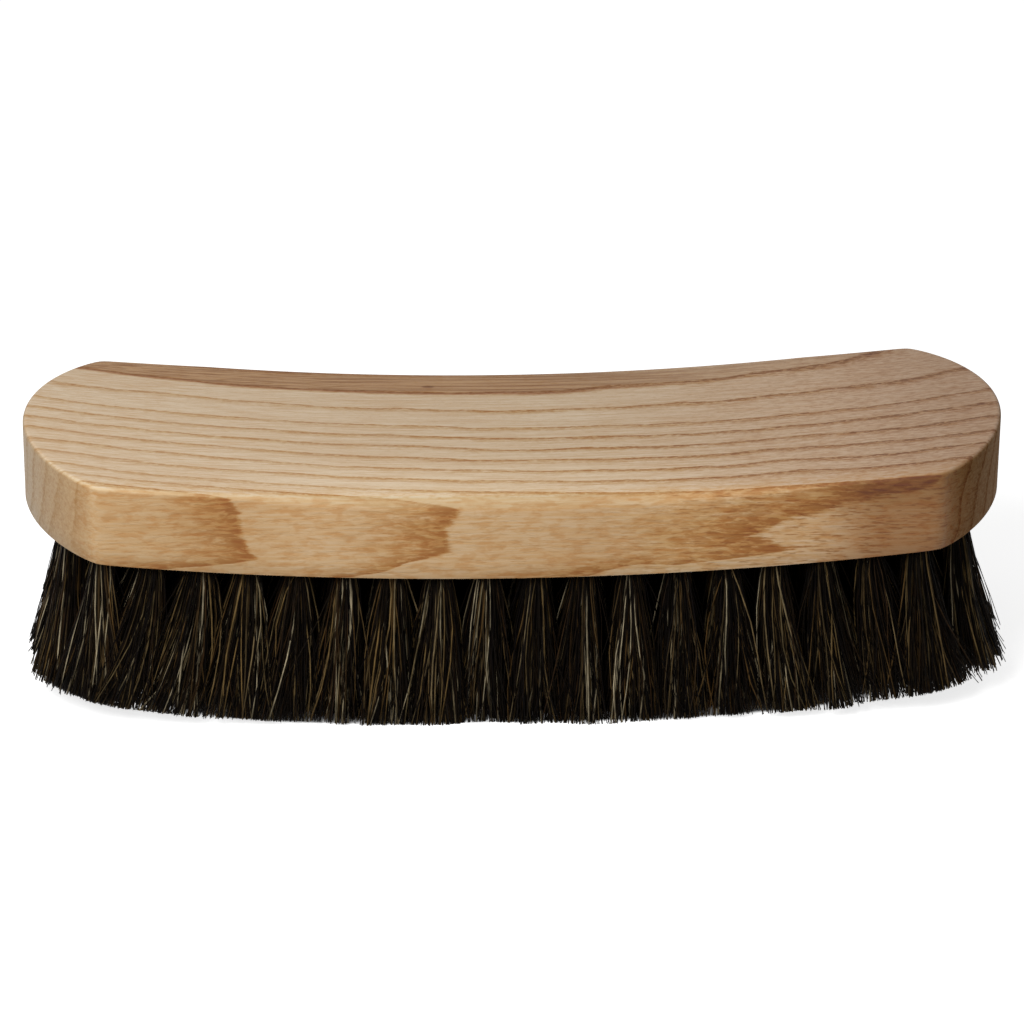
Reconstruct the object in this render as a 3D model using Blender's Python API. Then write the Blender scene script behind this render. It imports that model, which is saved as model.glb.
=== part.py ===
"""Horsehair bristle brush: a dished hardwood block, and tufts of horsehair in holes drilled underneath.

Metres, +Z up. X runs along the brush and Y across it. The origin lies on the surface that the brush stands
on, below the middle of the block.

The block is one piece of wood. Its underside is let in, and each row of tufts is one solid that fills its
slice of that recess: the slice of wood, the strands that hang from it, and the folded roots and wire anchors
above it, which reach up into the block's drilled holes.
"""

import math
import random

import bmesh
import bpy
from mathutils import Vector

# The block
BLOCK_LENGTH = 0.190
BLOCK_WIDTH = 0.057
BLOCK_THICKNESS = 0.0171  # at the middle of its length
TOP_DIP = 0.0054  # from the ends of the top down to its middle
UNDERSIDE_DIP = 0.0063  # from the ends of the underside down to its middle
END_BULGE = 0.0143  # how far the arc of each end stands out past the straight sides
EDGE_ROUND = 0.0018  # radius worked along the top edge
ROUND_SEGMENTS = 3
SADDLE_SEGMENTS = 18
END_SEGMENTS = 13  # odd, so that each end's arc closes on a short flat
SHARP_ANGLE = math.radians(33)  # edges that turn less are shaded smooth

# The recess in the underside and the slices that fill it
RIM_WIDTH = 0.0018
RECESS_DEPTH = 0.0030
FIT_GAP = 0.0003
OVERRUN = 0.0010  # how far every cutter runs past what it cuts

# The drilled holes
HOLE_DIAMETER = 0.0044
HOLE_DEPTH = 0.0120  # from the underside
HOLE_SIDES = 6
TUFT_MARGIN = 0.0050  # from the block's long side to the centre of an outer tuft
END_MARGIN = 0.0098  # from the block's end to the tufts of an end row
END_STEP = 0.0073  # from an end row to the long row beside it, but for the shift
LONG_ROWS = 18
TUFTS_ACROSS = 6
END_TUFTS = 4
ROW_SHIFT = 0.0015  # the long rows sit this far towards the left end

# The wire anchors that pin the folded hair in the holes
ANCHOR_THICKNESS = 0.0006
ANCHOR_HEIGHT = 0.0013
FOLD_DEPTH = 0.0007  # of hair folded over the anchor

# The bristle
BRISTLE_LENGTH = 0.0305  # from the underside straight down to the tips
FLAT_CUT = 0.0005  # trimmed off level where the brush stands
TRIM_UNEVENNESS = 0.0008
STRAND_WIDTH = 0.0016  # across the corners, at the root
STRAND_TIP_WIDTH = 0.0024
STRAND_SIDES = 3
OUTER_STRANDS = 4  # in each tuft along the edge of the brush
INNER_STRANDS = 3
SIDE_LEAN = 0.0026  # how far the tips of a tuft along a long side stand out past its hole
END_LEAN = 0.0075  # how far the tips of an end row stand out past their holes
SIDE_POWER = 3  # how sharply the lean grows towards the long sides
END_POWER = 6  # how sharply the lean grows towards the end rows
SEED = 7

# Shares of the sizes above
seat_share = 0.35  # of a slice's thickness, the depth that strands and roots are let into it
knee_height_share = 0.5  # of a strand's length, where it bends
knee_spread_share = 0.4  # of a strand's sideways reach, got by its bend
root_ring_share = 0.65  # of a root's radius, from the tuft's middle to the middle of a strand
tip_ring_share = 0.33  # of a tuft's room, from its middle to the tip of a strand
stray_share = 0.08  # of a tuft's room, the most that a tip strays from its place
fold_share = 0.75  # of a root's radius, left where the hair folds over its anchor

# Finishes
WOOD_COLOUR = (0.56, 0.37, 0.20, 1.0)
HAIR_COLOUR = (0.030, 0.021, 0.014, 1.0)
WIRE_COLOUR = (0.55, 0.56, 0.58, 1.0)


def arc_radius(half_chord, rise):
    """Radius of the arc that rises this much in the middle of this chord."""
    return (half_chord**2 + rise**2) / (2 * rise)


HALF_LENGTH = BLOCK_LENGTH / 2
HALF_WIDTH = BLOCK_WIDTH / 2
END_RADIUS = arc_radius(HALF_WIDTH, END_BULGE)
END_CENTRE = HALF_LENGTH - END_RADIUS  # from the block's middle to the centre of an end's arc
TOP_RADIUS = arc_radius(HALF_LENGTH, TOP_DIP)
UNDERSIDE_RADIUS = arc_radius(HALF_LENGTH, UNDERSIDE_DIP)
STANDING_HEIGHT = BRISTLE_LENGTH - FLAT_CUT  # of the middle of the underside
SLICE_THICKNESS = RECESS_DEPTH - FIT_GAP
SLICE_INSET = RIM_WIDTH + FIT_GAP
HOLE_RADIUS = HOLE_DIAMETER / 2
HOLE_CORNER = math.pi / HOLE_SIDES  # angle from the middle of a hole's wall to its corner
ROOT_RADIUS = HOLE_RADIUS - FIT_GAP / math.cos(HOLE_CORNER)
ANCHOR_REACH = ROOT_RADIUS * math.cos(HOLE_CORNER)


def lift(x, radius):
    """How far a dished face stands at x above its own middle."""
    return radius - math.sqrt(radius**2 - x**2)


def top(x):
    """Height of the block's top."""
    return STANDING_HEIGHT + BLOCK_THICKNESS + lift(x, TOP_RADIUS)


def underside(x):
    """Height of the block's underside."""
    return STANDING_HEIGHT + lift(x, UNDERSIDE_RADIUS)


def half_width(x, inset):
    """Half the width at x of the block's outline moved in by inset: the straight side or the end's arc."""
    reach = END_RADIUS - inset
    along = max(abs(x) - END_CENTRE, 0)
    return min(HALF_WIDTH - inset, math.sqrt(max(reach**2 - along**2, 0)))


def end_stations(inset):
    """X of the corners of one end's arc, from the crease with the straight side to the short flat."""
    reach = END_RADIUS - inset
    crease = math.asin((HALF_WIDTH - inset) / reach)
    step = 2 * crease / END_SEGMENTS
    return [END_CENTRE + reach * math.cos(crease - step * i) for i in range((END_SEGMENTS + 1) // 2)]


def all_stations(inset):
    """X of every corner of the outline moved in by inset, from the left end to the right."""
    ends = end_stations(inset)
    step = 2 * ends[0] / SADDLE_SEGMENTS
    straight = [step * i - ends[0] for i in range(1, SADDLE_SEGMENTS)]
    return [-x for x in reversed(ends)] + straight + ends


def stations_between(start, stop, inset):
    """X of the corners of a slice of the outline from start to stop."""
    ends = end_stations(inset)
    corners = [-x for x in reversed(ends)] + ends
    return [start] + [x for x in corners if start < x < stop] + [stop]


def outline(stations, inset):
    """Corners of the block's outline moved in by inset: the front's at each station, then the rear's."""
    front = [(x, -half_width(x, inset)) for x in stations]
    return front + [(x, -y) for x, y in reversed(front)]


def level_ring(centre, radius, sides, turn=0.0):
    """Corners of a level polygon round its centre."""
    angles = [turn + math.tau * i / sides for i in range(sides)]
    return [centre + Vector((radius * math.cos(a), radius * math.sin(a), 0)) for a in angles]


def join_rings(mesh, rings):
    """Walls from each ring of corners up to the next, and the rings as they went in."""
    loops = [[mesh.verts.new(corner) for corner in ring] for ring in rings]
    for low, high in zip(loops, loops[1:]):
        for i in range(len(low)):
            j = (i + 1) % len(low)
            mesh.faces.new((low[i], low[j], high[j], high[i]))
    return loops


def add_prism(mesh, rings):
    """A closed body through the rings of corners, with flat ends."""
    loops = join_rings(mesh, rings)
    mesh.faces.new(loops[0])
    mesh.faces.new(loops[-1])


def dished_body(levels):
    """A body through levels of the block's outline: each one's stations, inset, dished face and rise.

    Both ends are closed by strips that run straight across, from the front at one station to the rear.
    """
    mesh = bmesh.new()
    rings = []
    for stations, inset, face, rise in levels:
        rings.append([(x, y, face(x) + rise) for x, y in outline(stations, inset)])
    loops = join_rings(mesh, rings)
    for loop in (loops[0], loops[-1]):
        for i in range(len(loop) // 2 - 1):
            mesh.faces.new((loop[i], loop[i + 1], loop[-2 - i], loop[-1 - i]))
    return mesh


def material(name, colour, roughness, metallic):
    """A plain finish."""
    finish = bpy.data.materials.new(name)
    finish.use_nodes = True
    shader = finish.node_tree.nodes["Principled BSDF"]
    shader.inputs["Base Color"].default_value = colour
    shader.inputs["Roughness"].default_value = roughness
    shader.inputs["Metallic"].default_value = metallic
    finish.diffuse_color = colour
    return finish


def add_object(name, mesh, finish):
    """Puts a bmesh into the scene as an object with one finish, its faces pointing out."""
    bmesh.ops.recalc_face_normals(mesh, faces=mesh.faces)
    data = bpy.data.meshes.new(name)
    mesh.to_mesh(data)
    mesh.free()
    data.materials.append(finish)
    thing = bpy.data.objects.new(name, data)
    bpy.context.scene.collection.objects.link(thing)
    return thing


def combine(thing, helper, operation):
    """Cuts a helper from an object or joins it on, and keeps the helper as a hidden guide."""
    helper.hide_render = True
    helper.display_type = "WIRE"
    step = thing.modifiers.new(helper.name, "BOOLEAN")
    step.operation = operation
    step.solver = "EXACT"
    step.material_mode = "TRANSFER"
    step.object = helper


TUFT_PITCH = 2 * (HALF_WIDTH - TUFT_MARGIN) / (TUFTS_ACROSS - 1)
END_ROW_PLACE = HALF_LENGTH - END_MARGIN
LONG_REACH = END_ROW_PLACE - END_STEP
ROW_PITCH = 2 * LONG_REACH / (LONG_ROWS - 1)


def end_row(x):
    """The tufts of an end row."""
    return [(x, (i - (END_TUFTS - 1) / 2) * TUFT_PITCH, OUTER_STRANDS) for i in range(END_TUFTS)]


def long_row(x):
    """The tufts of a row that runs across the whole width of the block."""
    reach = half_width(x, TUFT_MARGIN)
    step = 2 * reach / (TUFTS_ACROSS - 1)
    inner = [(x, step * i - reach, INNER_STRANDS) for i in range(1, TUFTS_ACROSS - 1)]
    return [(x, -reach, OUTER_STRANDS)] + inner + [(x, reach, OUTER_STRANDS)]


def rows():
    """Each row from the left end to the right: where its slice starts and stops, its room and its tufts.

    The seams between slices lie halfway between the rows. A row's room is the way to its nearer neighbour.
    """
    places = [ROW_PITCH * i - LONG_REACH - ROW_SHIFT for i in range(LONG_ROWS)]
    tufts = [end_row(-END_ROW_PLACE)] + [long_row(x) for x in places] + [end_row(END_ROW_PLACE)]
    places = [-END_ROW_PLACE] + places + [END_ROW_PLACE]
    tip = end_stations(SLICE_INSET)[-1]
    half_gap = FIT_GAP / 2
    seams = [(left + right) / 2 for left, right in zip(places, places[1:])]
    starts = [-tip] + [seam + half_gap for seam in seams]
    stops = [seam - half_gap for seam in seams] + [tip]
    steps = [right - left for left, right in zip(places, places[1:])]
    rooms = [steps[0]] + [min(pair) for pair in zip(steps, steps[1:])] + [steps[-1]]
    return list(zip(starts, stops, rooms, tufts))


def build_block(all_rows, wood):
    """The one-piece handle block: dished faces, rounded top edge, recess and drilled holes."""
    levels = [(all_stations(0), 0, underside, 0)]
    for i in range(ROUND_SEGMENTS + 1):
        angle = math.pi / 2 * i / ROUND_SEGMENTS
        inset = EDGE_ROUND * (1 - math.cos(angle))
        levels.append((all_stations(inset), inset, top, EDGE_ROUND * (math.sin(angle) - 1)))
    block = add_object("handle_block", dished_body(levels), wood)
    block.data.shade_smooth()
    block.data.set_sharp_from_angle(angle=SHARP_ANGLE)
    stations = all_stations(RIM_WIDTH)
    recess = dished_body(
        [(stations, RIM_WIDTH, underside, -OVERRUN), (stations, RIM_WIDTH, underside, RECESS_DEPTH)]
    )
    combine(block, add_object("recess_cutter", recess, wood), "DIFFERENCE")
    holes = bmesh.new()
    for start, stop, room, tufts in all_rows:
        for x, y, strands in tufts:
            heights = (underside(x) + RECESS_DEPTH - OVERRUN, underside(x) + HOLE_DEPTH)
            places = [Vector((x, y, z)) for z in heights]
            add_prism(holes, [level_ring(place, HOLE_RADIUS, HOLE_SIDES, HOLE_CORNER) for place in places])
    combine(block, add_object("hole_cutter", holes, wood), "DIFFERENCE")


def tip_place(x, y, room, angle, chance):
    """Where a strand's tip lies in plan: on its tuft's ring of tips, leant outwards and a little astray."""
    lean_x = math.copysign(END_LEAN * (abs(x) / END_ROW_PLACE) ** END_POWER, x)
    lean_y = math.copysign(SIDE_LEAN * (abs(y) / (HALF_WIDTH - TUFT_MARGIN)) ** SIDE_POWER, y)
    spread_x = math.cos(angle) * tip_ring_share + chance.uniform(-1, 1) * stray_share
    spread_y = math.sin(angle) * tip_ring_share + chance.uniform(-1, 1) * stray_share
    return x + lean_x + room * spread_x, y + lean_y + TUFT_PITCH * spread_y


def add_tuft(strands, x, y, room, count, chance):
    """Strands that leave one hole and fan out, each bent once, their tips trimmed along the block's dip."""
    ring = level_ring(Vector((x, y, underside(x))), ROOT_RADIUS * root_ring_share, count, math.pi / count)
    for i, root in enumerate(ring):
        tip_x, tip_y = tip_place(x, y, room, math.pi / count + math.tau * i / count, chance)
        trim = TRIM_UNEVENNESS * chance.uniform(0, 1)
        tip = Vector((tip_x, tip_y, max(lift(tip_x, UNDERSIDE_RADIUS) + trim - FLAT_CUT, 0)))
        root.z += SLICE_THICKNESS * seat_share
        knee = root.lerp(tip, knee_spread_share)
        knee.z = tip.z + (root.z - tip.z) * knee_height_share
        knee_width = (STRAND_WIDTH + STRAND_TIP_WIDTH) / 2
        turn = chance.uniform(0, math.tau)
        places = ((tip, STRAND_TIP_WIDTH), (knee, knee_width), (root, STRAND_WIDTH))
        add_prism(strands, [level_ring(place, width / 2, STRAND_SIDES, turn) for place, width in places])


def add_root(roots, anchors, x, y):
    """The folded hair in one hole, narrower at its fold, and the flat wire anchor just below the fold."""
    fold = underside(x) + HOLE_DEPTH - FIT_GAP
    foot = underside(x) + SLICE_THICKNESS * (1 - seat_share)
    ends = ((foot, ROOT_RADIUS), (fold, ROOT_RADIUS * fold_share))
    add_prism(roots, [level_ring(Vector((x, y, z)), size, HOLE_SIDES, HOLE_CORNER) for z, size in ends])
    half = ANCHOR_THICKNESS / 2
    corners = ((-ANCHOR_REACH, -half), (ANCHOR_REACH, -half), (ANCHOR_REACH, half), (-ANCHOR_REACH, half))
    heights = (fold - FOLD_DEPTH - ANCHOR_HEIGHT, fold - FOLD_DEPTH)
    add_prism(anchors, [[Vector((x + a, y + b, z)) for a, b in corners] for z in heights])


def build_row(name, start, stop, room, tufts, wood, hair, wire, chance):
    """One row of tufts on its slice of the block's underside."""
    stations = stations_between(start, stop, SLICE_INSET)
    levels = [(stations, SLICE_INSET, underside, rise) for rise in (0, SLICE_THICKNESS)]
    row = add_object(name, dished_body(levels), wood)
    strands, roots, anchors = bmesh.new(), bmesh.new(), bmesh.new()
    for x, y, count in tufts:
        add_tuft(strands, x, y, room, count, chance)
        add_root(roots, anchors, x, y)
    combine(row, add_object(name + "_strands", strands, hair), "UNION")
    combine(row, add_object(name + "_roots", roots, hair), "UNION")
    combine(row, add_object(name + "_anchors", anchors, wire), "UNION")


def build_brush():
    """The block, then its rows of tufts from the left end to the right."""
    for old in list(bpy.data.objects):
        bpy.data.objects.remove(old)
    wood = material("ash_wood", WOOD_COLOUR, 0.55, 0.0)
    hair = material("horsehair", HAIR_COLOUR, 0.45, 0.0)
    wire = material("anchor_wire", WIRE_COLOUR, 0.35, 1.0)
    chance = random.Random(SEED)
    all_rows = rows()
    build_block(all_rows, wood)
    for i, (start, stop, room, tufts) in enumerate(all_rows):
        build_row(f"tuft_row_{i + 1:02d}", start, stop, room, tufts, wood, hair, wire, chance)


build_brush()
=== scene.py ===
import math

import bpy
import numpy as np
from mathutils import Matrix, Vector
from mathutils.geometry import delaunay_2d_cdt


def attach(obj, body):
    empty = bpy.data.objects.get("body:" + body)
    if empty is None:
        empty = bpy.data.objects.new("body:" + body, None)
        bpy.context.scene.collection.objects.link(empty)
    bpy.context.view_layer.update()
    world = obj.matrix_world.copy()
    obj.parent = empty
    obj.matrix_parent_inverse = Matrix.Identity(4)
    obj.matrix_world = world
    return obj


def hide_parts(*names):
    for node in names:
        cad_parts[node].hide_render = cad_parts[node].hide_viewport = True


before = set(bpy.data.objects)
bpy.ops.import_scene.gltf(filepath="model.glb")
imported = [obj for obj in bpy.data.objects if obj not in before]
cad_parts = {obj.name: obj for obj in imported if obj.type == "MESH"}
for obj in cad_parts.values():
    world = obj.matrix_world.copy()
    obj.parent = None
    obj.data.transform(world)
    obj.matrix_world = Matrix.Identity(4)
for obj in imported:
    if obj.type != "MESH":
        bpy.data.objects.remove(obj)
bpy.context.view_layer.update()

scene = bpy.context.scene


# Camera
# A long lens looks down at the front of the brush from 27 degrees above it. The brush is turned a little, so
# that its left end is nearer, and the camera is tilted half a degree.
VIEW_TURN = math.radians(-3.379)
VIEW_HEIGHT = math.radians(27.03)
VIEW_TILT = math.radians(-0.535)
VIEW_DISTANCE = 0.9991
VIEW_TARGET = Vector((0, 0, 0.030))
LENS = 179.04
SHIFT_ACROSS = -0.0005
SHIFT_UP = -0.0008

forward = Vector((0, math.cos(VIEW_HEIGHT), -math.sin(VIEW_HEIGHT)))
upward = Vector((0, math.sin(VIEW_HEIGHT), math.cos(VIEW_HEIGHT)))
across = Vector((1, 0, 0))
turn = Matrix.Rotation(VIEW_TURN, 3, "Z")
right_side = turn @ (math.cos(VIEW_TILT) * across - math.sin(VIEW_TILT) * upward)
top_side = turn @ (math.sin(VIEW_TILT) * across + math.cos(VIEW_TILT) * upward)
away = turn @ -forward
facing = Matrix((right_side, top_side, away)).transposed().to_4x4()
camera = bpy.data.objects.new("camera", bpy.data.cameras.new("camera"))
camera.data.lens = LENS
camera.data.shift_x = SHIFT_ACROSS
camera.data.shift_y = SHIFT_UP
camera.matrix_world = Matrix.Translation(VIEW_TARGET + VIEW_DISTANCE * away) @ facing
scene.collection.objects.link(camera)
scene.camera = camera


# Handle block
# One piece of open-grained hardwood, sawn to a dished outline with an arc at each end, its top edge worked
# round by hand and its underside drilled with blind holes for the tufts. It is sanded and lightly waxed.
STANDING_HEIGHT = 0.030
HALF_LENGTH = 0.095
HALF_WIDTH = 0.0285
THICKNESS = 0.0171
END_RADIUS = 0.03555
END_CENTRE = HALF_LENGTH - END_RADIUS
CREASE_SOFTNESS = 0.0009
TOP_RADIUS = 0.8384
UNDERSIDE_RADIUS = 0.7194
EDGE_ROUND_MIDDLE = 0.0028
EDGE_ROUND_END = 0.0009
LOWER_EDGE_ROUND = 0.0003
# The holes for the tufts, in long rows and two end rows.
HOLE_RADIUS = 0.0022
HOLE_DEPTH = 0.012
TUFT_MARGIN = 0.005
TUFT_PITCH = 0.0094
LONG_ROWS = 18
LONG_ROW_TUFTS = 6
ROW_PITCH = 0.009165
ROW_SHIFT = 0.0015
END_ROW_TUFTS = 4
END_ROW_PLACE = 0.0852
# How fine the mesh is.
SIDE_STEPS = 160
CROWDING_AT_ENDS = 0.3
ARC_STEPS = 44
LOWER_ROUND_LEVELS = 3
WALL_LEVELS = (0.25, 0.5, 0.75)
TOP_ROUND_LEVELS = 9
CAP_STEPS = 24
HOLE_SIDES = 16
NEARLY_WHOLE = 0.97
MERGE_DISTANCE = 1e-7
SHARP_ANGLE = math.radians(40)


def lift(x, radius):
    """Height of a dished face above its own middle.

    It is the radius less the root of the radius squared less x squared.
    """
    return radius - np.sqrt(radius**2 - x**2)


def underside(x):
    """Height of the block's underside."""
    return STANDING_HEIGHT + lift(x, UNDERSIDE_RADIUS)


def top(x):
    """Height of the block's top."""
    return STANDING_HEIGHT + THICKNESS + lift(x, TOP_RADIUS)


def plan_outline():
    """Points all round the outline, from the left tip along the front, and their outward directions.

    The half width is the smaller of the straight side and the end's arc, blended over a short softness by
    half their sum less half the root of their difference squared plus the softness squared.
    """
    crease = math.asin(HALF_WIDTH / END_RADIUS)
    arc = END_CENTRE + END_RADIUS * np.cos(np.linspace(0, crease, ARC_STEPS + 1))
    share = np.linspace(-1, 1, SIDE_STEPS + 1)[1:-1]
    crowded = np.sin(share * math.pi / 2)
    along_side = arc[-1] * ((1 - CROWDING_AT_ENDS) * share + CROWDING_AT_ENDS * crowded)
    x = np.concatenate([-arc, along_side, arc[::-1]])
    past_centre = np.maximum(np.abs(x) - END_CENTRE, 0)
    bow = np.sqrt(np.maximum(END_RADIUS**2 - past_centre**2, 0))
    y = (HALF_WIDTH + bow - np.hypot(HALF_WIDTH - bow, CREASE_SOFTNESS)) / 2
    y[[0, -1]] = 0
    front = np.stack([x, -y], 1)
    whole = np.concatenate([front, (front * (1, -1))[-2:0:-1]])
    along = np.roll(whole, -1, 0) - np.roll(whole, 1, 0)
    along /= np.linalg.norm(along, axis=1)[:, None]
    return whole, np.stack([along[:, 1], -along[:, 0]], 1)


def skin_levels(outline, outward):
    """Rings of points from the underside's edge up the wall and over the rounded top edge.

    Both edges are quarter circles, drawn in by the round times one less the sine or the cosine of the angle.
    The top's round grows from its end value to its middle one with one less the share of the way squared.
    """
    levels = []
    for angle in np.linspace(0, math.pi / 2, LOWER_ROUND_LEVELS):
        plan = outline - outward * LOWER_EDGE_ROUND * (1 - math.sin(angle))
        height = underside(plan[:, 0]) + LOWER_EDGE_ROUND * (1 - math.cos(angle))
        levels.append(np.column_stack([plan, height]))

    growth = np.maximum(1 - (outline[:, 0] / END_CENTRE) ** 2, 0)
    edge_round = EDGE_ROUND_END + (EDGE_ROUND_MIDDLE - EDGE_ROUND_END) * growth
    low, high = levels[-1][:, 2], top(outline[:, 0]) - edge_round
    for share in WALL_LEVELS:
        levels.append(np.column_stack([outline, low + (high - low) * share]))

    for angle in np.linspace(0, math.pi / 2, TOP_ROUND_LEVELS):
        plan = outline - outward * (edge_round * (1 - math.cos(angle)))[:, None]
        height = top(plan[:, 0]) - edge_round * (1 - math.sin(angle))
        levels.append(np.column_stack([plan, height]))
    return levels


def true_triangles(triangles):
    """The triangles that have three different corners."""
    a, b, c = triangles.T
    return triangles[(a != b) & (b != c) & (a != c)]


def grid_triangles(grid):
    """Two triangles for each square of a grid of point indices, without those that have lost a side."""
    a, b = grid[:-1, :-1].ravel(), grid[1:, :-1].ravel()
    c, d = grid[1:, 1:].ravel(), grid[:-1, 1:].ravel()
    return true_triangles(np.concatenate([np.stack([a, b, c], 1), np.stack([a, c, d], 1)]))


def cap_grid(loop, first_new):
    """Point indices of a cap over a loop: a line of them from the front to the rear at each place along it.

    The ends of a line are points of the loop, and those between them are new, counted from first_new.
    """
    lines = len(loop) // 2 + 1
    grid = np.empty((lines, CAP_STEPS + 1), int)
    grid[:, 0] = loop[:lines]
    grid[:, -1] = np.concatenate([loop[:1], loop[:lines - 2:-1]])
    inside = np.arange((lines - 2) * (CAP_STEPS - 1)).reshape(lines - 2, CAP_STEPS - 1)
    grid[1:-1, 1:-1] = first_new + inside
    grid[[0, -1], 1:-1] = grid[[0, -1], :1]
    return grid


def drilled_sheet(edge, rims, centres):
    """Triangles, facing down, that fill the flat space between the underside's edge and the holes' rims.

    Their corners count the points of the edge and then those of the rims. Triangles inside a rim, whose
    middles are nearer to the hole's centre than nearly its radius, are left out.
    """
    flat = np.concatenate([edge, rims])
    loops = [np.arange(len(edge)), *(len(edge) + np.arange(len(rims))).reshape(-1, HOLE_SIDES)]
    borders = np.concatenate([np.stack([loop, np.roll(loop, -1)], 1) for loop in loops])
    filled = delaunay_2d_cdt(flat.tolist(), borders.tolist(), [], 1, MERGE_DISTANCE)
    source = np.array([ids[0] for ids in filled[3]])
    found = source[np.array(filled[2])]
    middle = flat[found].mean(1)
    distance = np.linalg.norm(middle[:, None] - centres[None], axis=2).min(1)
    found = found[distance > NEARLY_WHOLE * HOLE_RADIUS]
    a, b, c = flat[found[:, 0]], flat[found[:, 1]], flat[found[:, 2]]
    area = (b[:, 0] - a[:, 0]) * (c[:, 1] - a[:, 1]) - (b[:, 1] - a[:, 1]) * (c[:, 0] - a[:, 0])
    found[area > 0] = found[area > 0][:, ::-1]
    return found


def tuft_places():
    """Hole centres of each row from the left end to the right.

    The holes of an end row are a pitch apart. Those of a long row are evenly spaced from one margin to the
    other, and near an end the margin follows its arc.
    """
    arc = END_RADIUS - TUFT_MARGIN
    end_y = (np.arange(END_ROW_TUFTS) - (END_ROW_TUFTS - 1) / 2) * TUFT_PITCH
    end = np.stack([np.full(END_ROW_TUFTS, END_ROW_PLACE), end_y], 1)
    found = [end * (-1, 1)]
    for i in range(LONG_ROWS):
        x = ROW_PITCH * (i - (LONG_ROWS - 1) / 2) - ROW_SHIFT
        bow = math.sqrt(arc**2 - max(abs(x) - END_CENTRE, 0) ** 2)
        side = min(HALF_WIDTH - TUFT_MARGIN, bow)
        row_y = np.linspace(-side, side, LONG_ROW_TUFTS)
        found.append(np.stack([np.full(LONG_ROW_TUFTS, x), row_y], 1))
    return found + [end]


def build_block(rows):
    """Points and triangles of the block's skin.

    It has walls, a cap on top and an underside that is cut out round every hole, whose wall and drill point
    go up into the wood.
    """
    outline, outward = plan_outline()
    levels = skin_levels(outline, outward)
    count = len(outline)
    rings = np.arange(len(levels) * count).reshape(-1, count)
    wall = grid_triangles(np.concatenate([rings, rings[:, :1]], 1).T)

    cap = cap_grid(rings[-1], rings.size)
    edge = levels[-1][1:len(cap) - 1]
    inner_x = np.repeat(edge[:, 0], CAP_STEPS - 1)
    inner_y = (edge[:, 1:2] * np.linspace(1, -1, CAP_STEPS + 1)[1:-1]).ravel()
    cap_points = np.column_stack([inner_x, inner_y, top(inner_x)])

    centres = np.concatenate(rows)
    turns = np.arange(HOLE_SIDES) * math.tau / HOLE_SIDES
    circle = HOLE_RADIUS * np.stack([np.cos(turns), np.sin(turns)], 1)
    rims = (centres[:, None] + circle).reshape(-1, 2)
    hole_end = underside(centres[:, 0]) + HOLE_DEPTH
    start = rings.size + len(cap_points)
    sheet = drilled_sheet(levels[0][:, :2], rims, centres)
    sheet = np.where(sheet < count, sheet, sheet - count + start)
    foot = start + np.arange(len(rims)).reshape(-1, HOLE_SIDES)
    head = foot + len(rims)
    tips = start + 2 * len(rims) + np.arange(len(centres))

    faces = [wall, grid_triangles(cap), sheet]
    for low, high in ((foot, head), (head, np.repeat(tips[:, None], HOLE_SIDES, 1))):
        next_low, next_high = np.roll(low, -1, 1), np.roll(high, -1, 1)
        faces.append(np.stack([low, high, next_low], 2).reshape(-1, 3))
        faces.append(np.stack([high, next_high, next_low], 2).reshape(-1, 3))
    points = [
        *levels,
        cap_points,
        np.column_stack([rims, underside(rims[:, 0])]),
        np.column_stack([rims, np.repeat(hole_end, HOLE_SIDES)]),
        np.column_stack([centres, hole_end + HOLE_RADIUS / 2]),
    ]
    return np.concatenate(points), true_triangles(np.concatenate(faces))


def make_piece(name, points, triangles, quads=()):
    """A mesh object from whole arrays of points and faces, smooth shaded."""
    quads = np.asarray(quads, int).reshape(-1, 4)
    mesh = bpy.data.meshes.new(name)
    mesh.vertices.add(len(points))
    mesh.vertices.foreach_set("co", np.asarray(points, np.float32).ravel())
    corners = np.concatenate([quads.ravel(), triangles.ravel()]).astype(np.int32)
    starts = np.concatenate([np.arange(len(quads)) * 4, len(quads) * 4 + np.arange(len(triangles)) * 3])
    mesh.loops.add(len(corners))
    mesh.loops.foreach_set("vertex_index", corners)
    mesh.polygons.add(len(starts))
    mesh.polygons.foreach_set("loop_start", starts.astype(np.int32))
    mesh.update(calc_edges=True)
    mesh.validate()
    mesh.shade_smooth()
    piece = bpy.data.objects.new(name, mesh)
    scene.collection.objects.link(piece)
    return piece


class Output:
    """What a shader node puts out. A sum that is written with it adds Math nodes to its tree."""

    def __init__(self, socket):
        self.socket = socket

    def __add__(self, other):
        return maths("ADD", self, other)

    def __radd__(self, other):
        return maths("ADD", other, self)

    def __sub__(self, other):
        return maths("SUBTRACT", self, other)

    def __rsub__(self, other):
        return maths("SUBTRACT", other, self)

    def __mul__(self, other):
        return maths("MULTIPLY", self, other)

    def __rmul__(self, other):
        return maths("MULTIPLY", other, self)

    def __truediv__(self, other):
        return maths("DIVIDE", self, other)

    def __pow__(self, other):
        return maths("POWER", self, other)

    def __abs__(self):
        return maths("ABSOLUTE", self)


def feed(node, inputs):
    """Gives a node its inputs, each a number, a colour or what another node puts out."""
    for key, value in inputs.items():
        if isinstance(value, Output):
            node.id_data.links.new(value.socket, node.inputs[key])
        else:
            node.inputs[key].default_value = value


def add_node(kind, inputs, output=0, tree=None, **settings):
    """Adds a node, by default to the tree of the first of its inputs that another node puts out."""
    if tree is None:
        tree = next(value.socket.id_data for value in inputs.values() if isinstance(value, Output))
    node = tree.nodes.new(kind)
    for name, value in settings.items():
        setattr(node, name, value)
    feed(node, inputs)
    return Output(node.outputs[output])


def maths(operation, first, second=0.0):
    """One sum on numbers."""
    return add_node("ShaderNodeMath", {0: first, 1: second}, operation=operation)


def largest(first, *others):
    """The largest of some numbers."""
    for other in others:
        first = maths("MAXIMUM", first, other)
    return first


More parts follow.
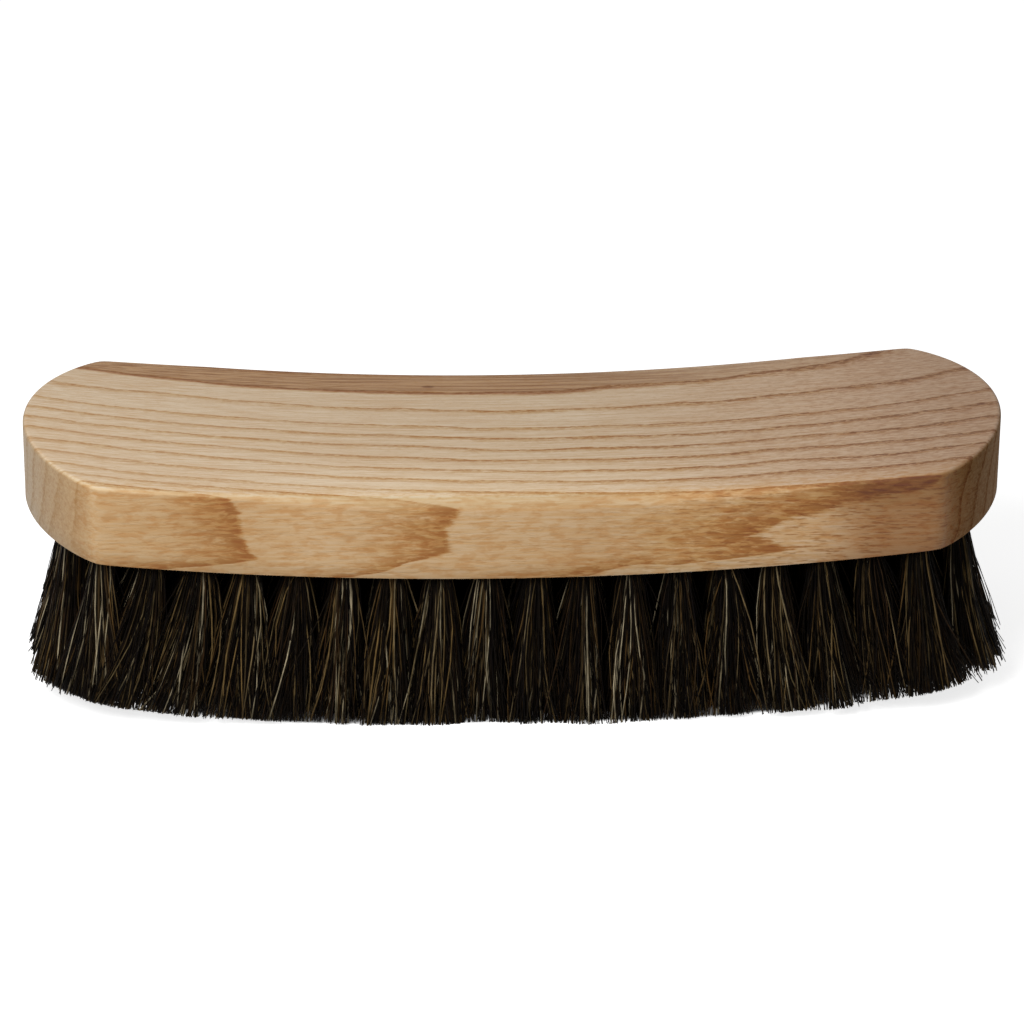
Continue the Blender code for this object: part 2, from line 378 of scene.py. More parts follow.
def overlap(first, *others):
    """The product of some shares, at most 1."""
    for other in others:
        first = first * other
    return maths("MINIMUM", first, 1.0)


def split(vector):
    """The x, y and z of a vector."""
    return [add_node("ShaderNodeSeparateXYZ", {0: vector}, axis) for axis in "XYZ"]


def noise(place, stretch, detail, roughness=0.5):
    """Noise whose blotches are 1 / stretch long in each direction."""
    scaled = add_node("ShaderNodeVectorMath", {0: place, 1: stretch}, operation="MULTIPLY")
    looks = {"Vector": scaled, "Scale": 1.0, "Detail": detail, "Roughness": roughness}
    return add_node("ShaderNodeTexNoise", looks)


def straight(value, low, high, ends=(0.0, 1.0), shape="LINEAR"):
    """A straight run from one end value to the other as the value goes from low to high."""
    run = {"Value": value, "From Min": low, "From Max": high, "To Min": ends[0], "To Max": ends[1]}
    return add_node("ShaderNodeMapRange", run, interpolation_type=shape)


def ramp(value, low, high, ends=(0.0, 1.0)):
    """A smooth step from one end value to the other as the value goes from low to high."""
    return straight(value, low, high, ends, "SMOOTHSTEP")


def blend(share, first, second):
    """Mixes two numbers by a share."""
    return add_node("ShaderNodeMix", {0: share, 2: first, 3: second}, data_type="FLOAT")


def blend_colour(share, first, second, way="MIX"):
    """Mixes two colours by a share. A colour is three numbers or what another node puts out."""
    first, second = [c if isinstance(c, Output) else (*c, 1.0) for c in (first, second)]
    inputs = {0: share, 6: first, 7: second}
    return add_node("ShaderNodeMix", inputs, 2, data_type="RGBA", blend_type=way)


def stain(under, share, tint):
    """Multiplies a colour by a mix of white and a tint, by a share."""
    return blend_colour(1.0, under, blend_colour(share, WHITE, tint), "MULTIPLY")


# Sizes of the wood are in millimetres. A curve's three terms go with 1, x and x squared.
WHITE = (1.0, 1.0, 1.0)
MILLIMETRES = 1000
PITH_Y = (40.57, -0.0782, 0.0000761)
PITH_Z = (6.10, -0.1853, 0.0007595)
WIDE_RING, MIDDLE_RING, NARROW_RING = 7.45, 4.6, 3.3
MIDDLE_RINGS_START, NARROW_RINGS_START = 15.0, 29.7
RING_COUNT_SHIFT = -0.3
FACE_HEIGHT = 17.0
BULGE_LENGTH = 80.0
BULGE_MIDDLE, BULGE_ALONG, BULGE_UP, BULGE_CORNERWISE = 0.592, 2.374, -0.724, -3.051
HEARTWOOD_RADIUS = 25.0
SPOT_PLACE = (-15.8, 21.0)
CREAM = (0.640, 0.510, 0.362)
DEEP_CREAM = (0.615, 0.474, 0.323)
ROSY_TAN = (0.575, 0.408, 0.280)
# A dull tan for the far right of the top, partly the wood's own tone and partly painted shade where the
# light falls off.
SHADED_DULL_TAN = (0.465, 0.316, 0.210)
LIGHT_BROWN = (0.440, 0.262, 0.130)
DARK_BROWN = (0.275, 0.142, 0.058)
# Where a tint of the long sides fades in, and the tint: dull at the left, pale, and brown at the far right.
# The brown is partly the wood's own warmer tone and partly painted shade where the lamp's light falls off to
# the right.
SIDE_TINTS = (
    (-38, -60, (0.88, 0.85, 0.79)),
    (10, 35, (1.22, 1.34, 1.46)),
    (54, 70, (0.60, 0.475, 0.335)),
)


def pith_distance(x, y, z):
    """Distance from the pith, the root of two squares, where the pith's place is a slow curve of x."""
    away_y = y - (PITH_Y[0] + PITH_Y[1] * x + PITH_Y[2] * (x * x))
    away_z = z - (PITH_Z[0] + PITH_Z[1] * x + PITH_Z[2] * (x * x))
    return maths("SQRT", away_y * away_y + away_z * away_z)


def front_bulge(x, height):
    """How far the rings stand out in the front face: towards the top at the left, and low down at the right.

    It is a plain sum of the place along, the place up and their product, less a taper along the lower edge
    and less two hollows, high up at the left and half-way up at the right.
    """
    along = x / BULGE_LENGTH
    tall = height / FACE_HEIGHT
    plain = BULGE_MIDDLE + BULGE_ALONG * along + BULGE_UP * tall + BULGE_CORNERWISE * (along * tall)
    middle_taper = ramp(height, 6.5, -1, (0, 2.3))
    outer_taper = ramp(height, 3.8, -1, (0, 2.5))
    taper = blend(ramp(abs(x), 20, 32), middle_taper, outer_taper)
    left_hollow = ramp(tall, 0.70, 1.05, (-0.05, 0.42)) * ramp(x, -28, -42)
    right_hollow = ramp(height, 13, 8, (0, 0.30)) * ramp(x, 12, 30) * ramp(height, 2.5, 6.5, (0.55, 1))
    return plain - taper - left_hollow - right_hollow


def ring_place(radius):
    """The distance outwards from the start of a ring, and the ring's width.

    The count of rings is the largest of three straight lines, so that wide rings near the pith give way to
    narrower ones, and the fraction of the count times the width is the distance.
    """
    middle_count = (radius - MIDDLE_RINGS_START) / MIDDLE_RING
    narrow_count = (radius - NARROW_RINGS_START) / NARROW_RING
    count = largest(radius / WIDE_RING, middle_count, narrow_count)
    width = ramp(radius, 39.8, 40.0, (WIDE_RING, MIDDLE_RING))
    width = width + ramp(radius, 66.9, 67.1, (0, NARROW_RING - MIDDLE_RING))
    return maths("FRACT", count + RING_COUNT_SHIFT) * width, width


def waxed_hardwood():
    """Growth rings round a pith behind the block, with pores, fibres, darker heartwood and end grain.

    Places are counted from the middle of the underside. All darker parts are stains, one upon the other.
    """
    made = bpy.data.materials.new("waxed_hardwood")
    made.use_nodes = True
    tree = made.node_tree
    shader = tree.nodes["Principled BSDF"]
    metres = add_node("ShaderNodeTexCoord", {}, "Object", tree)
    scale_and_shift = {0: metres, 1: (MILLIMETRES,) * 3, 2: (0, 0, -MILLIMETRES * STANDING_HEIGHT)}
    place = add_node("ShaderNodeVectorMath", scale_and_shift, operation="MULTIPLY_ADD")
    x, y, z = split(place)
    height = z - x * x * (0.5 / (MILLIMETRES * UNDERSIDE_RADIUS))
    normal_x, normal_y, normal_z = split(add_node("ShaderNodeNewGeometry", {}, "Normal", tree))
    side = ramp(abs(normal_y), 0.25, 0.85)
    end_grain = ramp(abs(normal_x), 0.45, 0.80)
    front = ramp(y, -21, -28)
    behind = 1 - front
    rightward = ramp(x, 0, 78)

    # Noises drawn out along the grain: slow bends of the rings, short jags, pores, strands and fibres. The
    # pores and the mottling are longer and softer on the sides, which cut along the rings.
    wobble = noise(place, (0.035, 0.05, 0.09), 2)
    jag = noise(place, (0.14, 0.9, 0.9), 3, 0.6)
    blotches = noise(place, (0.09, 0.35, 0.35), 2)
    patches = noise(place, (0.020, 0.10, 0.10), 3)
    strands = noise(place, (0.15, 1.7, 1.3), 3, 0.6)
    threads = noise(place, (0.025, 2.1, 1.5), 3, 0.6)
    fibres = noise(place, (0.06, 2.0, 1.6), 5, 0.7)
    ticks = noise(place, (0.35, 1.0, 2.8), 2)
    sway = add_node("ShaderNodeCombineXYZ", {"Z": ramp(blotches, 0.25, 0.75, (-0.4, 0.4))})
    swayed = add_node("ShaderNodeVectorMath", {0: place, 1: sway}, operation="ADD")
    pores = blend(side, noise(place, (0.75, 2.7, 1.6), 2, 0.6), noise(swayed, (0.30, 1.1, 1.35), 3, 0.6))
    mottle = blend(side, noise(place, (0.50, 1.8, 1.3), 3, 0.6), noise(swayed, (0.24, 0.7, 0.80), 3, 0.6))

    # The rings waver. In the front face they run straighter, with frayed edges.
    shake = ramp(wobble, 0.2, 0.8, (-0.8, 0.8)) + ramp(jag, 0.2, 0.8, (-0.24, 0.24))
    shake = shake * (behind * 0.88 + ramp(x, -45, -20, (0.04, 0.12)))
    fray = ramp(strands, 0.25, 0.75, (-0.045, 0.045)) * front
    radius = pith_distance(x, y, z) + shake + fray + front_bulge(x, height) * front

    # A ring starts with a line of open wood that fades out, and sets in softly over the end of the last one.
    outward, width = ring_place(radius)
    onset = ramp((width - outward) / (0.42 - front * 0.30), 1, 0)
    early = largest(straight(outward, 0, 1.9, (1, 0)), onset)
    line = largest(ramp(outward, 0.1, 0.75, (1, 0)), onset)

    # Pores are short brown dashes and streaks, crowded in the first wood of a ring and few in the last.
    specks = ramp(pores + early * 0.10, 0.48, 0.64)
    dashes = ramp(strands + early * 0.30, 0.57, 0.76)

    # The grain shows less on end grain, at the left corner of the front and on the rounded edge.
    rounded = ramp(abs(normal_y) * normal_z, 0.15, 0.45) * ramp(x, 45, 0)
    corner = side * ramp(x, -78.5, -82, (0, 0.55))
    plain = (1 - end_grain * 0.40) * (1 - corner) * (1 - rounded * 0.6)
    open_grain = largest(front, ramp(x, -70, 50, (0.50, 1))) * plain

    # The top is cream at the left, and rosier and darker to the right, partly its own tone and partly
    # painted shade where the lamp's light falls off to the right. It is paler by the middle of its front.
    colour = blend_colour(ramp(patches, 0.3, 0.7), CREAM, DEEP_CREAM)
    colour = blend_colour(rightward, colour, ROSY_TAN)
    colour = blend_colour(ramp(x, 55, 95), colour, SHADED_DULL_TAN)
    near = ramp(y, -6, -24) * ramp(abs(x), 75, 15) * (1 - side)
    colour = stain(colour, near, (1.15, 1.17, 1.18))

    # Heartwood is brown, in threads, as far as a certain radius.
    heartwood = ramp(radius, HEARTWOOD_RADIUS + 0.7, HEARTWOOD_RADIUS - 0.6) * ramp(x, 60, 0, (0.35, 0.95))
    brown = blend_colour(ramp(threads, 0.40, 0.60), LIGHT_BROWN, DARK_BROWN)
    colour = blend_colour(heartwood, colour, brown)

    # Fine fibres everywhere, threads behind the front, and flecks in the front and towards the right.
    fibrous = largest(front * 0.8, ramp(x, -50, 50, (0.75, 1)))
    fibre_tint = blend_colour(front, (0.86, 0.78, 0.68), (0.91, 0.78, 0.58))
    colour = stain(colour, overlap(ramp(fibres, 0.62, 0.38), fibrous), fibre_tint)
    colour = stain(colour, overlap(ramp(threads, 0.50, 0.64), behind), (0.90, 0.81, 0.71))
    flecked = largest(rightward, front * 0.60 + 0.2)
    fleck_tint = blend_colour(front, (0.79, 0.70, 0.60), (0.86, 0.69, 0.47))
    colour = stain(colour, overlap(ramp(mottle, 0.46, 0.62), flecked, 0.85), fleck_tint)

    # The first wood of the rings, fainter near the front of the top, but not at its right.
    warm = ramp(blotches, 0.36, 0.60)
    coarse = rightward * behind
    faint = ramp(y, -9, -19, (0, 0.42)) * ramp(x, 40, 10)
    uneven = ramp(blotches, 0.3, 0.6, (0.6, 1)) * ramp(x, -60, 60, (0.75, 0.8)) * (1 - faint)
    strength = blend(front, uneven, 0.62)
    open_tint = blend_colour(warm, (0.86, 0.77, 0.67), (0.85, 0.74, 0.54))
    open_tint = blend_colour(coarse, open_tint, (0.90, 0.84, 0.76))
    colour = stain(colour, overlap(early, strength, plain), open_tint)

    # The ring lines, broken up by the pores, and a thin dull band along them in the front face.
    line_tint = blend_colour(warm, (0.68, 0.57, 0.47), (0.73, 0.54, 0.30))
    line_tint = blend_colour(coarse, line_tint, (0.58, 0.48, 0.40))
    line_tint = blend_colour(rightward * side, line_tint, (0.55, 0.38, 0.21))
    broken = ramp(pores, 0.38, 0.58, (0.12, 1.28)) * blend(front, 1, 0.50)
    colour = stain(colour, overlap(line, strength, open_grain, broken), line_tint)
    band = overlap(ramp(outward, 0.24, 0.10), front, side, ramp(height, 1, 4.5))
    colour = stain(colour, band, (0.90, 0.83, 0.70))

    # Dashes and specks of the pores, and short ticks along the grain at the right of the front.
    streaky = blend(side, 1, straight(early, 0.3, 1, (0.62, 0.95)))
    colour = stain(colour, overlap(dashes, open_grain, streaky, early + 0.35), (0.86, 0.75, 0.55))
    speck_tint = blend_colour(coarse, (0.82, 0.69, 0.51), (0.74, 0.62, 0.50))
    colour = stain(colour, overlap(specks, open_grain, streaky, early + 0.22), speck_tint)
    ticked = overlap(ramp(ticks, 0.53, 0.68), side, ramp(x, 5, 50))
    colour = stain(colour, ticked, (0.64, 0.50, 0.33))

    # A dark line where the heartwood ends, and one small brown spot at the rear of the top.
    inner_rim = ramp(radius, HEARTWOOD_RADIUS - 0.6, HEARTWOOD_RADIUS)
    outer_rim = ramp(radius, HEARTWOOD_RADIUS + 1, HEARTWOOD_RADIUS + 0.3)
    colour = stain(colour, overlap(inner_rim, outer_rim, ramp(x, 40, 0)), (0.70, 0.53, 0.38))
    spot_x = (x - SPOT_PLACE[0]) * 0.4
    spot_y = y - SPOT_PLACE[1]
    spot = ramp(spot_x * spot_x + spot_y * spot_y, 0.45, 0.05)
    colour = stain(colour, spot, (0.52, 0.38, 0.27))

    # The long sides are yellower than the top, partly the wood's own colour where it is cut along the rings
    # and partly painted light that stands for warmer light on the sides than on the top. The rounded edge is
    # dulled at its middle and paler towards the ends, and end grain is dull at the left and brighter at the
    # right.
    # Yellower sides: partly the wood's own colour and partly painted light, standing for warmer light on the
    # sides.
    colour = stain(colour, side, (1.030, 0.915, 0.755))
    # The brown tint at the far right of the sides is partly painted shade where the light falls off.
    for start, full, tint in SIDE_TINTS:
        colour = stain(colour, overlap(side, ramp(x, start, full)), tint)
    upper_right = overlap(side, ramp(x, 44, 72), ramp(height, 0.45 * FACE_HEIGHT, 0.95 * FACE_HEIGHT))
    colour = stain(colour, upper_right, (0.78, 0.75, 0.58))
    edge_tint = blend_colour(ramp(abs(x), 65, 30), (1.00, 1.07, 1.11), (0.84, 0.87, 0.84))
    colour = stain(colour, rounded, edge_tint)
    cut_tint = blend_colour(ramp(x, -40, 40), (0.79, 0.76, 0.69), (1.12, 1.09, 1.00))
    colour = stain(colour, end_grain, cut_tint)

    # Heartwood and the end grain at the right shine less, and pores are small dents.
    matt = end_grain * ramp(x, -40, 40)
    shine = straight(largest(matt, heartwood * 0.55), 0, 1, (0.5, 0.14))
    rough = ramp(fibres, 0.2, 0.8, (0.46, 0.60)) + specks * 0.12 + matt * 0.30
    relief = {"Strength": 0.35, "Distance": 0.00008, "Height": fibres * 0.35 - specks}
    bump = add_node("ShaderNodeBump", relief)
    feed(shader, {"Base Color": colour, "Specular IOR Level": shine, "Roughness": rough, "Normal": bump})
    return made


rows = tuft_places()
block = make_piece("handle_block_wood", *build_block(rows))
block.data.set_sharp_from_angle(angle=SHARP_ANGLE)
block.data.materials.append(waxed_hardwood())
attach(block, "root")
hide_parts("handle_block")


# Rows of horsehair tufts
# Each tuft is a bundle of natural horse hair, folded and set in its hole, that fans out as it leaves the
# wood. Most hairs are black or dark brown, some tan, and a few cream. All are trimmed along the block's dip.
# A hair's tube, and how much thicker pale hairs are.
HAIR_SIDES = 3
HAIR_STEPS = 6
THINNEST_RADIUS = 0.00009
THICKEST_RADIUS = 0.00013
TIP_TAPER = 0.85
PALE_FROM = 0.7
PALE_THICKENING = 0.70
# Hairs for each tuft: the inner tufts, seen only through gaps, have fewer and thicker ones.
OUTER_HAIRS = 520
INNER_HAIRS = 170
INNER_THICKENING = 1.9
END_HAIRS = 720
END_ROWS = (1, 20)
OUTER_ROWS = (1, 2, 19, 20)
LOCKS = 14
# Where a hair starts, and how far its end is spread, leant outwards and moved at random.
SET_DEPTH = 0.002
TUFT_RADIUS = 0.00165
TUFT_SPREAD = 0.0045
SPREAD_CHANGE = 0.22
LEFT_LEAN = 0.0080
RIGHT_LEAN = 0.0058
SIDE_LEAN = 0.0036
END_LEAN = 0.0030
END_ROW_LEAN_SHARE = 0.7
LOCK_WANDER = 0.0010
TUFT_WANDER = 0.0008
END_CALM = 0.65
LOCK_PULL = 0.40
WILD_SHARE = 0.08
STRAY = 0.0011
WILD_STRAY = 0.0036
BOW = 0.0009
WILD_BOW = 0.0018
WAVE = 0.0003
# The rim that the tips stay in, from above, and how evenly they are trimmed.
FAN_LENGTH = 0.0953
FAN_WIDTH = 0.0316
RIGHT_FAN_WIDTH = 0.0323
FAN_POWER = 6
RIGHT_FAN_POWER = 7.5
RIM_SHARE = 0.994
RIM_WAVES = ((0.014, 150, 0.9), (0.010, 390, -1.8))
RIM_ROUGHNESS = 0.014
LEVEL_CUT = 0.0005
TUFT_TRIM = 0.0002
TUFT_TRIM_CHANGE = 0.0001
HAIR_TRIM_CHANGE = 0.0002
LOWEST_TIP = 0.00002
# How much darker or paler a lock is than others, and how much darker the hair is painted towards the right:
# painted shade that stands for the lamp's light falling from the left.
LOCK_SHADE_CHANGE = 0.05
PAINTED_SHADE_SLOPE = -0.14


def soft_step(value, low, high):
    """0 below low, 1 above high, and between them three times the share squared less twice its cube."""
    share = np.clip((value - low) / (high - low), 0, 1)
    return share**2 * (3 - 2 * share)


def outward_lean(hole):
    """How far a hair's end is moved along and across the brush, by the place of its hole.

    Along the brush it is a soft step towards each end, less in the end rows. Across it goes with the cube of
    the share of the width, in the end rows with the share itself.
    """
    x, y = hole.T
    in_end_row = np.abs(x) > END_ROW_PLACE - 0.001
    along = RIGHT_LEAN * soft_step(x, 0.010, 0.075) - LEFT_LEAN * soft_step(-x, 0.005, 0.070)
    along = along * np.where(in_end_row, END_ROW_LEAN_SHARE, 1)
    over = SIDE_LEAN * (y / (HALF_WIDTH - TUFT_MARGIN)) ** 3
    over = np.where(in_end_row, END_LEAN * y / TUFT_PITCH, over)
    return np.stack([along, over], 1)


def gather(tip, chance):
    """Brings tips that lie past the fan's rim back to it.

    The rim is a rounded oblong whose powered shares of length and width add up to one, in two slow waves of
    sines. It is a little wider and squarer at the right.
    """
    x, y = tip.T
    power = np.where(x > 0, RIGHT_FAN_POWER, FAN_POWER)
    width = np.where(x > 0, RIGHT_FAN_WIDTH, FAN_WIDTH)
    reach = ((np.abs(x) / FAN_LENGTH) ** power + (np.abs(y) / width) ** power) ** (1 / power)
    waves = [size * np.sin(pace * x + shift * np.sign(y)) for size, pace, shift in RIM_WAVES]
    kept = (RIM_SHARE + sum(waves)) * (1 - chance.uniform(0, RIM_ROUGHNESS, len(tip)))
    return tip * np.where(reach > kept, kept / reach, 1)[:, None]


def hair_lines(centres, counts, chance):
    """Points along every hair of one row, as an array of hairs by steps by three, and each hair's lock.

    A hair starts at a random spot of its hole's disc and ends below it. Its end is moved away from the
    hole's middle in proportion to that spot's distance from it, outwards where its tuft stands near an end
    or a side, and with its tuft and its lock. Then it is drawn part of the way to its lock's middle and
    moved a little at random, but no farther than the fan's rim. Between its start and its end the hair goes
    by a power of the share of the way, bowed sideways by a half sine and waved by a whole one.
    """
    hole = np.repeat(centres, counts, 0)
    total = len(hole)
    angle = chance.uniform(0, math.tau, total)
    share = np.sqrt(chance.uniform(0, 1, total))
    side = np.stack([np.cos(angle), np.sin(angle)], 1)
    root = hole + side * (share * TUFT_RADIUS)[:, None]
    spread = side * (share * TUFT_SPREAD * chance.normal(1, SPREAD_CHANGE, total))[:, None]

    lock = np.repeat(np.arange(len(centres)) * LOCKS, counts) + (angle / math.tau * LOCKS).astype(int)
    wander = chance.normal(0, LOCK_WANDER, (len(centres) * LOCKS, 2))[lock]
    wander += np.repeat(chance.normal(0, TUFT_WANDER, (len(centres), 2)), counts, 0)
    calm = 1 - END_CALM * soft_step(np.abs(hole[:, 0]), 0.070, 0.084)
    tip = root + spread + outward_lean(hole) + wander * calm[:, None]
    size = np.maximum(np.bincount(lock, minlength=lock.max() + 1), 1)
    middle = np.stack([np.bincount(lock, column, len(size)) / size for column in tip.T], 1)[lock]
    wild = chance.uniform(0, 1, total) < WILD_SHARE
    stray = chance.normal(0, 1, (total, 2)) * np.where(wild, WILD_STRAY, STRAY)[:, None]
    tip = gather(tip + LOCK_PULL * (middle - tip) + stray, chance)

    trim = np.repeat(chance.normal(TUFT_TRIM, TUFT_TRIM_CHANGE, len(centres)), counts)
    trim += chance.uniform(0, HAIR_TRIM_CHANGE, total)
    tip_z = np.maximum(lift(tip[:, 0], UNDERSIDE_RADIUS) + trim - LEVEL_CUT, LOWEST_TIP)
    root_z = underside(root[:, 0]) + SET_DEPTH
    power = chance.uniform(1.2, 2.0, total)[:, None]
    bow = chance.normal(0, 1, (total, 2)) * (calm * np.where(wild, WILD_BOW, BOW))[:, None]
    wave = chance.normal(0, WAVE, (total, 2))
    way = np.linspace(0, 1, HAIR_STEPS)
    out = root[:, None] + (tip - root)[:, None] * (way**power)[:, :, None]
    out += bow[:, None] * np.sin(math.pi * way)[None, :, None]
    out += wave[:, None] * np.sin(math.tau * way)[None, :, None]
    height = root_z[:, None] + (tip_z - root_z)[:, None] * way
    return np.concatenate([out, height[:, :, None]], 2), lock


def hair_tubes(lines, radii, chance):
    """Tubes along the lines: rings of points square to each line, faces between them and two end caps."""
    along = np.gradient(lines, axis=1)
    along /= np.linalg.norm(along, axis=2)[:, :, None]
    first = np.cross(along, (0.0, 1.0, 0.0))
    first /= np.linalg.norm(first, axis=2)[:, :, None]
    second = np.cross(along, first)
    turns = np.arange(HAIR_SIDES) * math.tau / HAIR_SIDES + chance.uniform(0, math.tau, (len(lines), 1))
    cosine, sine = np.cos(turns)[:, None, :, None], np.sin(turns)[:, None, :, None]
    ring = first[:, :, None] * cosine + second[:, :, None] * sine
    points = lines[:, :, None] + ring * radii[:, :, None, None]
    index = np.arange(points[..., 0].size).reshape(points.shape[:3])
    low, high = index[:, :-1], index[:, 1:]
    quads = np.stack([low, np.roll(low, -1, 2), np.roll(high, -1, 2), high], 3).reshape(-1, 4)
    caps = np.concatenate([index[:, 0, ::-1], index[:, -1]])
    return points.reshape(-1, 3), quads, caps


def hair_map(total):
    """Texture places of every corner: each hair has its own cell of a grid, its sides one beside the other
    and its two ends as small triangles below and above them."""
    across = math.ceil(math.sqrt(4 * total))
    down = math.ceil(total / across)
    cell = np.stack([np.arange(total) % across, np.arange(total) // across], 1)
    u = np.linspace(0.06, 0.94, HAIR_SIDES + 1)
    v = np.linspace(0.08, 0.92, HAIR_STEPS)
    low, left = np.meshgrid(v[:-1], u[:-1], indexing="ij")
    high, right = np.meshgrid(v[1:], u[1:], indexing="ij")
    sides = np.stack([left, low, right, low, right, high, left, high], 2).reshape(1, -1, 2)
    foot = np.array([(0.5, 0.06), (0.9, 0.01), (0.1, 0.01)])[None]
    head = np.array([(0.1, 0.94), (0.9, 0.94), (0.5, 0.99)])[None]
    parts = [(cell[:, None] + part) / (across, down) for part in (sides, foot, head)]
    return np.concatenate([part.reshape(-1, 2) for part in parts])


# Shades of hair from the darkest to the palest, and where each stands among all hairs.
HAIR_SHADES = (
    (0.00, (0.002, 0.001, 0.001)),
    (0.50, (0.005, 0.003, 0.001)),
    (0.75, (0.014, 0.008, 0.004)),
    (0.80, (0.034, 0.017, 0.006)),
    (0.83, (0.050, 0.035, 0.016)),
    (0.88, (0.088, 0.047, 0.014)),
    (0.91, (0.110, 0.081, 0.038)),
    (0.95, (0.160, 0.098, 0.034)),
    (0.98, (0.200, 0.155, 0.085)),
    (1.00, (0.380, 0.315, 0.200)),
)
HAIR_PATCHES = (900, 900, 260)
HAIR_SHINE = 0.06


def horsehair():
    """Black and dark brown hair with some tan and a few cream ones, each hair's shade kept in its mesh.

    Colour and roughness vary a little in patches a few millimetres long. The paler and darker patches of
    colour are partly the hair's own streaks and partly painted highlights and painted shade where hairs
    cross.
    """
    made = bpy.data.materials.new("horsehair")
    made.use_nodes = True
    tree = made.node_tree
    tones = tree.nodes.new("ShaderNodeValToRGB")
    for position, tone in HAIR_SHADES[1:-1]:
        tones.color_ramp.elements.new(position)
    for element, (position, tone) in zip(tones.color_ramp.elements, HAIR_SHADES):
        element.position = position
        element.color = (*tone, 1.0)
    feed(tones, {0: add_node("ShaderNodeAttribute", {}, "Fac", tree, attribute_name="shade")})
    patchy = noise(add_node("ShaderNodeTexCoord", {}, "Object", tree), HAIR_PATCHES, 2)
    # Paler and darker patches: partly the hair's own streaks and partly painted highlights and shade.
    level = ramp(patchy, 0.3, 0.7, (0.55, 1.25))
    levels = add_node("ShaderNodeCombineColor", {0: level, 1: level, 2: level})
    colour = blend_colour(1.0, Output(tones.outputs[0]), levels, "MULTIPLY")
    rough = ramp(patchy, 0.3, 0.7, (0.45, 0.60))
    feed(tree.nodes["Principled BSDF"], {
        "Base Color": colour,
        "Roughness": rough,
        "Specular IOR Level": HAIR_SHINE,
    })
    return made


hair_finish = horsehair()
chance = np.random.default_rng(11)
for number, centres in enumerate(rows, 1):
    outer = np.abs(centres[:, 1]) > np.abs(centres[:, 1]).max() - 0.001
    if number in OUTER_ROWS:
        outer[:] = True
    counts = np.where(outer, END_HAIRS if number in END_ROWS else OUTER_HAIRS, INNER_HAIRS)
    lines, lock = hair_lines(centres, counts, chance)
    total = len(lines)
    mood = chance.normal(0, LOCK_SHADE_CHANGE, len(centres) * LOCKS)[lock]
    # Hairs are made paler at the left and darker to the right: painted light and shade for the lamp at the
    # left.
    shade = np.clip(chance.uniform(0, 1, total) + mood + PAINTED_SHADE_SLOPE * centres[0, 0], 0, 1)
    paleness = np.clip(shade - PALE_FROM, 0, 1) / (1 - PALE_FROM)
    radius = chance.uniform(THINNEST_RADIUS, THICKEST_RADIUS, total) * (1 + PALE_THICKENING * paleness)
    radius *= np.repeat(np.where(outer, 1, INNER_THICKENING), counts)
    taper = np.linspace(1, TIP_TAPER, HAIR_STEPS)
    points, quads, caps = hair_tubes(lines, radius[:, None] * taper, chance)
    row = make_piece(f"horsehair_row_{number:02d}", points, caps, quads)
    kept = row.data.attributes.new("shade", "FLOAT", "POINT")
    kept.data.foreach_set("value", np.repeat(shade, HAIR_STEPS * HAIR_SIDES).astype(np.float32))
    places = row.data.uv_layers.new(name="OFBake")
    places.data.foreach_set("uv", hair_map(total).astype(np.float32).ravel())
    row.data.materials.append(hair_finish)
    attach(row, "root")
    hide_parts(f"tuft_row_{number:02d}")


# Floor and light
# A plain white floor that keeps the brush's shadow, a pale sky all round and one large soft lamp above the
# front left corner.
FLOOR_HALF = 3.0
FLOOR_SEEN = (0.80, 0.80, 0.80)
FLOOR_LIT = (0.25, 0.25, 0.25)
FLOOR_GLOW = 0.76
# The painted contact shadow: the part of the floor below the bristle where its glow is cut.
TOUCHING_SQUARE = 0.0007
FRONT_SLOPE = 2.0
BACK_SLOPE = 3.4
FRONT_REACH = (0.086, 0.092)
BACK_REACH = 0.060
DARK_EDGE = (0.965, 0.74)
CLEAR_EDGE = 0.992
# The lamp and the sky.
KEY_PLACE = Vector((-0.14, -0.21, 0.28))
KEY_SIZE = 0.22
KEY_POWER = 1.14
SKY_LEVEL = 0.24


def seen_directly(tree):
    """1 for what the camera, a reflection or a clear material sees, 0 for light that falls on things."""
    rays = ("Is Camera Ray", "Is Glossy Ray", "Is Transmission Ray")
    return largest(*[add_node("ShaderNodeLightPath", {}, ray, tree) for ray in rays])


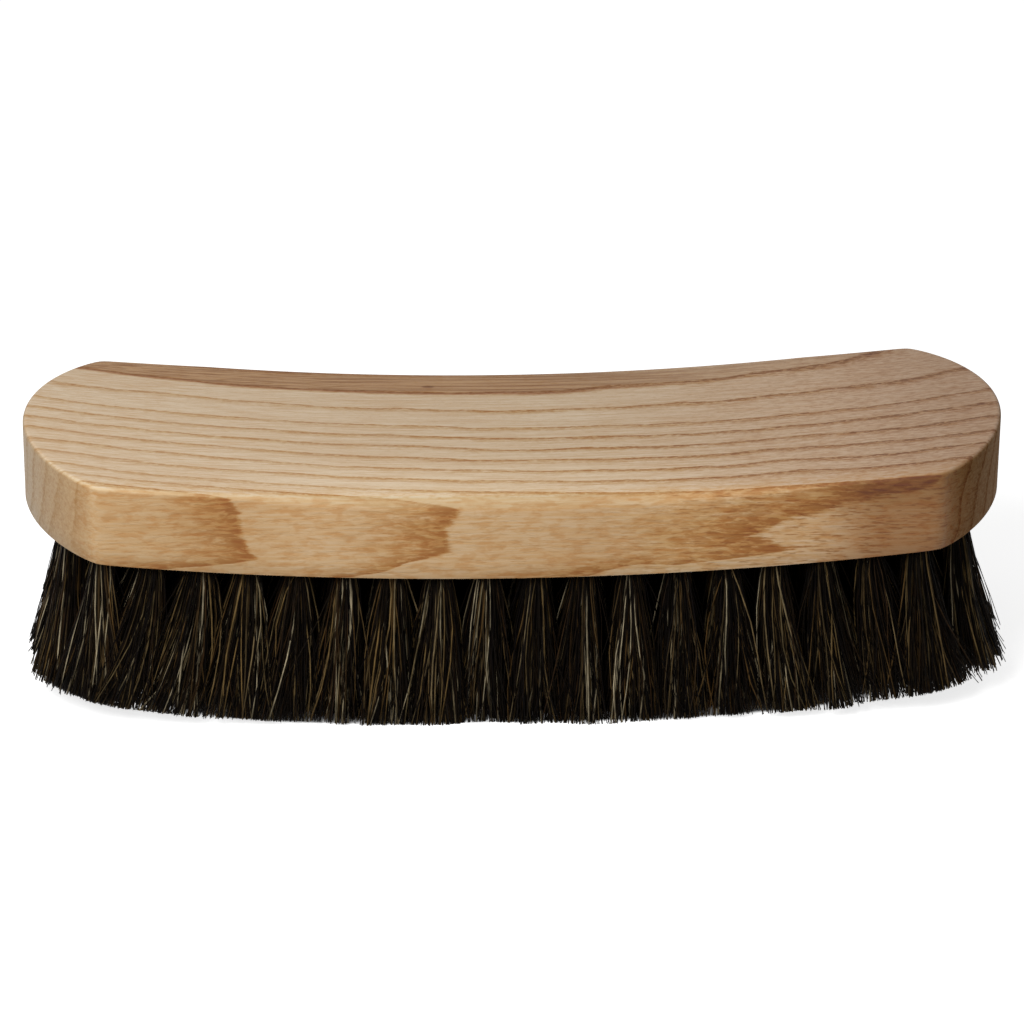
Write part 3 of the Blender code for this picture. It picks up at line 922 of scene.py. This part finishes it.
def clear_of_painted_shadow(tree):
    """0 in a painted shadow on the floor below the bristle, 1 clear of it, in a band softer under the raised
    ends.

    The bristle's reach is the root of the powered shares of width and length. Past the middle part that
    touches the floor, the width is drawn in with the square of x, more so behind than in front.
    """
    x, y = split(add_node("ShaderNodeTexCoord", {}, "Object", tree))[:2]
    rear = ramp(y, -0.005, 0.005)
    rise = largest(x * x - TOUCHING_SQUARE, 0.0)
    drawn_in = rise * ramp(y, -0.005, 0.005, (FRONT_SLOPE, BACK_SLOPE)) * (0.5 / UNDERSIDE_RADIUS)
    wide = ((abs(y) + drawn_in) / FAN_WIDTH) ** FAN_POWER
    long = (abs(x) / blend(rear, ramp(x, -0.02, 0.02, FRONT_REACH), BACK_REACH)) ** FAN_POWER
    reach = (wide + long) ** (1 / FAN_POWER)
    return straight(reach, ramp(abs(x), 0.055, 0.090, DARK_EDGE), CLEAR_EDGE)


def white_floor():
    """A matt floor, pale where seen, with a painted shadow below the bristle, and greyer in the light it
    throws.
    """
    made = bpy.data.materials.new("white_floor")
    made.use_nodes = True
    tree = made.node_tree
    seen = seen_directly(tree)
    feed(tree.nodes["Principled BSDF"], {
        "Base Color": blend_colour(seen, FLOOR_LIT, FLOOR_SEEN),
        "Roughness": 1.0,
        "Specular IOR Level": 0.0,
        "Emission Color": (1.0, 1.0, 1.0, 1.0),
        # Cutting the glow below the bristle paints a contact shadow on the floor.
        "Emission Strength": seen * FLOOR_GLOW * clear_of_painted_shadow(tree),
    })
    return made


corners = np.array([(-1, -1, 0), (1, -1, 0), (1, 1, 0), (-1, 1, 0)]) * FLOOR_HALF
floor = make_piece("floor", corners, np.array([(0, 1, 2), (0, 2, 3)]))
floor.data.materials.append(white_floor())

world = bpy.data.worlds.new("studio")
world.use_nodes = True
sky = world.node_tree.nodes["Background"]
sky_level = straight(seen_directly(world.node_tree), 0, 1, (SKY_LEVEL, 1.0))
feed(sky, {"Color": (1.0, 1.0, 1.0, 1.0), "Strength": sky_level})
scene.world = world

lamp = bpy.data.objects.new("key_light", bpy.data.lights.new("key_light", "AREA"))
lamp.data.shape = "SQUARE"
lamp.data.size = KEY_SIZE
lamp.data.energy = KEY_POWER
lamp.location = KEY_PLACE
lamp.rotation_euler = (VIEW_TARGET - KEY_PLACE).to_track_quat("-Z", "Y").to_euler()
scene.collection.objects.link(lamp)

scene.view_settings.view_transform = "Standard"
